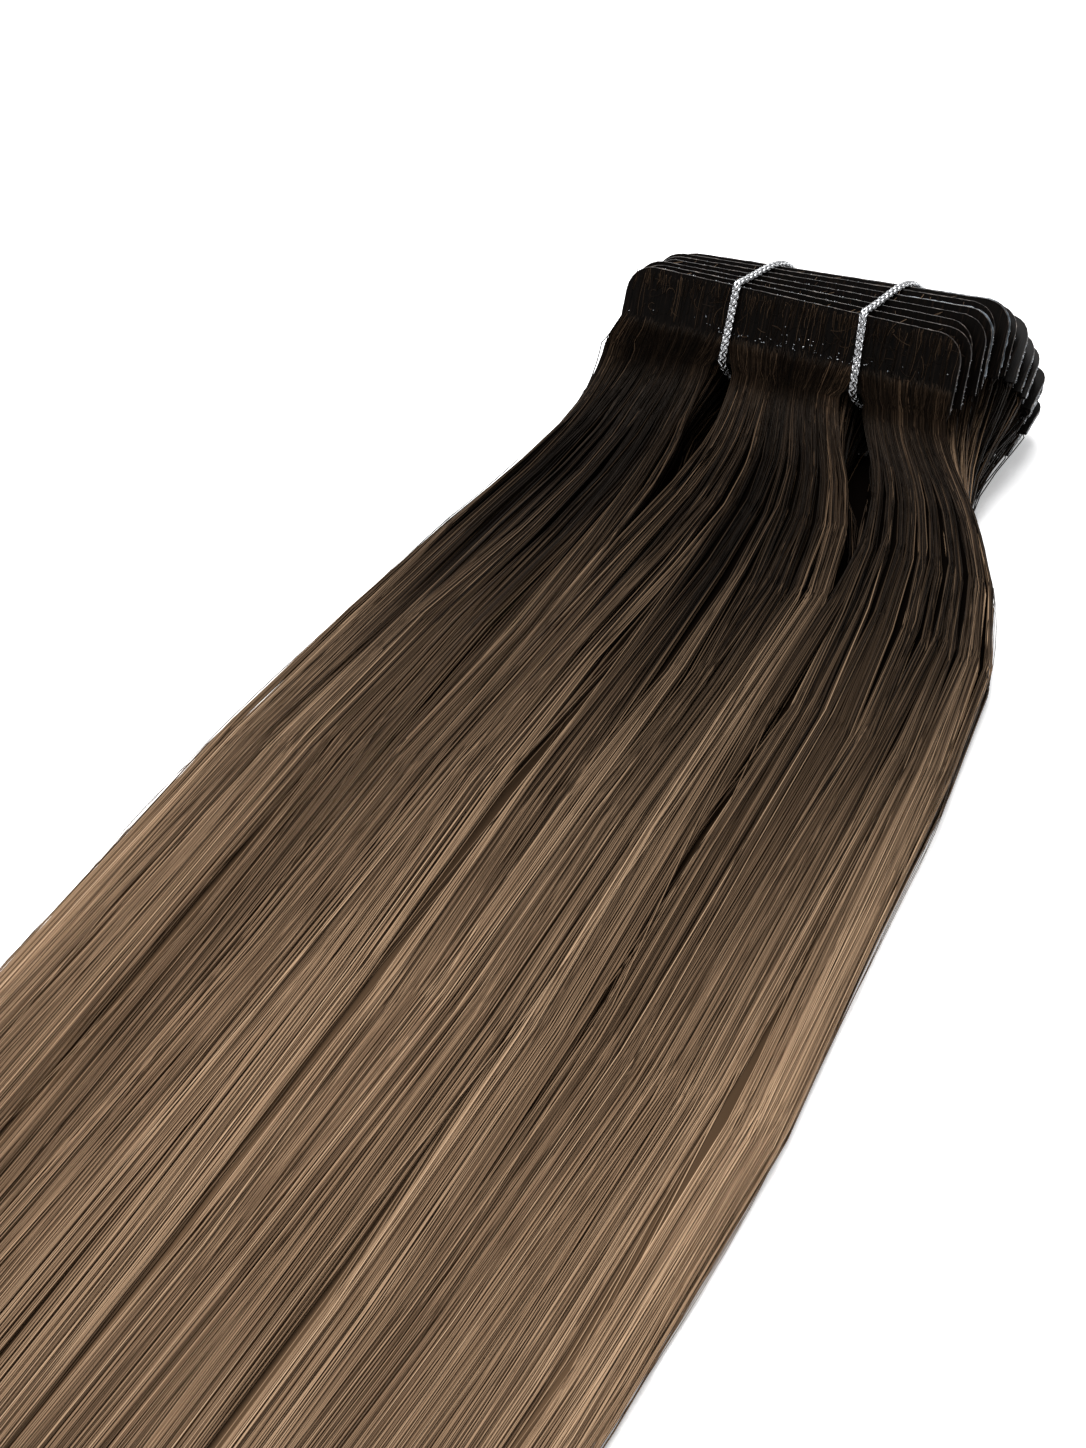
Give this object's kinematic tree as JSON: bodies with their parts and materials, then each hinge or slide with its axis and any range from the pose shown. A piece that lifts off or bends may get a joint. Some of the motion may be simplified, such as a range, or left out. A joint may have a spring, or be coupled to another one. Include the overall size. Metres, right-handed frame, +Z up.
{
  "type": "tape-in hair extension pack",
  "caption": "Straight tape-in hair extension wefts in a fanned pack, dark at the roots and light brown along the lengths, held by silver elastic cords.",
  "frame": {"origin": "middle of the underside of the whole pack, on the table it lies on", "axes": "+X along the width of the tabs, +Y along the hair towards the tabs, +Z up"},
  "size_m": [0.0804, 0.5204, 0.0214],
  "materials": {
    "tape_tab": "thin dark skin tab with hair roots showing through, half glossy",
    "release_film": "clear glossy release film over the adhesive",
    "hair": "straight human hair, near black at the roots and light brown at the lengths, satin shine",
    "silver_cord": "braided elastic cord with silver metallic thread"
  },
  "bodies": {
    "root": {"tape_01": "tape_tab", "tape_02": "tape_tab", "tape_03": "tape_tab", "tape_04": "tape_tab", "tape_05": "tape_tab", "tape_06": "tape_tab", "tape_07": "tape_tab", "tape_08": "tape_tab", "tape_09": "tape_tab", "tape_10": "tape_tab", "tape_11": "tape_tab", "tape_12": "tape_tab", "tape_13": "tape_tab", "tape_14": "tape_tab", "tape_15": "tape_tab", "tape_16": "tape_tab", "tape_17": "tape_tab", "tape_18": "tape_tab", "tape_19": "tape_tab", "tape_20": "tape_tab", "film_01": "release_film", "film_02": "release_film", "film_03": "release_film", "film_04": "release_film", "film_05": "release_film", "film_06": "release_film", "film_07": "release_film", "film_08": "release_film", "film_09": "release_film", "film_10": "release_film", "film_11": "release_film", "film_12": "release_film", "film_13": "release_film", "film_14": "release_film", "film_15": "release_film", "film_16": "release_film", "film_17": "release_film", "film_18": "release_film", "film_19": "release_film", "film_20": "release_film", "hair": "hair", "cord_left": "silver_cord", "cord_right": "silver_cord"}
  },
  "joints": []
}
